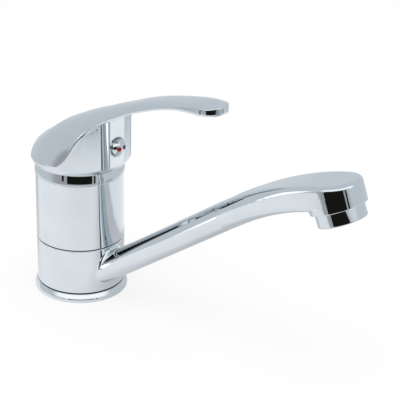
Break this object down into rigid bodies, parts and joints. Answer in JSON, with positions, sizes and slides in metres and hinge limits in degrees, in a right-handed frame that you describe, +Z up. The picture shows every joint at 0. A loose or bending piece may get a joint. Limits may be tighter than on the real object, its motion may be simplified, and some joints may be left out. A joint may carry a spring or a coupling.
{
  "type": "single-lever kitchen faucet",
  "caption": "Single-lever kitchen mixer tap with a round column, a swivelling rising spout with a tilted aerator outlet, and a curved strap lever that lifts and turns.",
  "frame": {"origin": "centre of the base on the counter plane", "axes": "+Z up along the column, +X towards the outlet with spout and lever at rest, +Y to the cold side"},
  "size_m": [0.2031, 0.0538, 0.1287],
  "materials": {
    "chrome": "polished chrome plate",
    "lever_chrome": "polished chrome plate on a cast lever",
    "brass": "machined",
    "steel": "stainless",
    "ceramic": "lapped",
    "seal_rubber": "moulded",
    "white_plastic": "moulded",
    "slip_plastic": "moulded",
    "cartridge_plastic": "moulded",
    "rotor_plastic": "moulded",
    "index_plastic": "bright plated plastic",
    "red_mark": "gloss",
    "blue_mark": "gloss"
  },
  "bodies": {
    "body": {"base_ring": "chrome", "base_gasket": "seal_rubber", "valve_body": "chrome", "lower_slip_ring": "slip_plastic", "upper_slip_ring": "slip_plastic", "lower_o_ring": "seal_rubber", "upper_o_ring": "seal_rubber", "port_seals": "seal_rubber", "cartridge_base": "cartridge_plastic", "fixed_disc": "ceramic", "cartridge_housing": "cartridge_plastic", "cartridge_nut": "brass", "cap_ring": "chrome"},
    "turret": {"rotor": "rotor_plastic", "pivot_pin": "steel"},
    "disc": {"moving_disc": "ceramic", "disc_driver": "cartridge_plastic"},
    "lever": {"lever_handle": "lever_chrome", "stem": "brass", "set_screw": "steel", "index_cap": "index_plastic", "hot_mark": "red_mark", "cold_mark": "blue_mark"},
    "spout": {"spout": "chrome", "aerator_housing": "chrome", "aerator_washer": "seal_rubber", "aerator_grid": "white_plastic", "aerator_insert": "cartridge_plastic", "aerator_screen": "steel"}
  },
  "joints": [
    {"name": "spout_swivel", "type": "hinge", "parent": "body", "child": "spout", "pos_m": [0, 0, 0.01765], "axis": [0, 0, 1], "continuous": true},
    {"name": "lever_turn", "type": "hinge", "parent": "body", "child": "turret", "pos_m": [0, 0, 0.0687], "axis": [0, 0, 1], "range_deg": [-50, 50]},
    {"name": "lever_lift", "type": "hinge", "parent": "turret", "child": "lever", "pos_m": [0, 0, 0.0687], "axis": [0, -1, 0], "range_deg": [0, 22]},
    {"name": "disc_slide", "type": "slide", "parent": "turret", "child": "disc", "axis": [1, 0, 0], "range_m": [0, 0.00324]}
  ],
  "couplings": [
    {"joint": "disc_slide", "follows": "lever_lift", "m_per_rad": 0.008448}
  ]
}
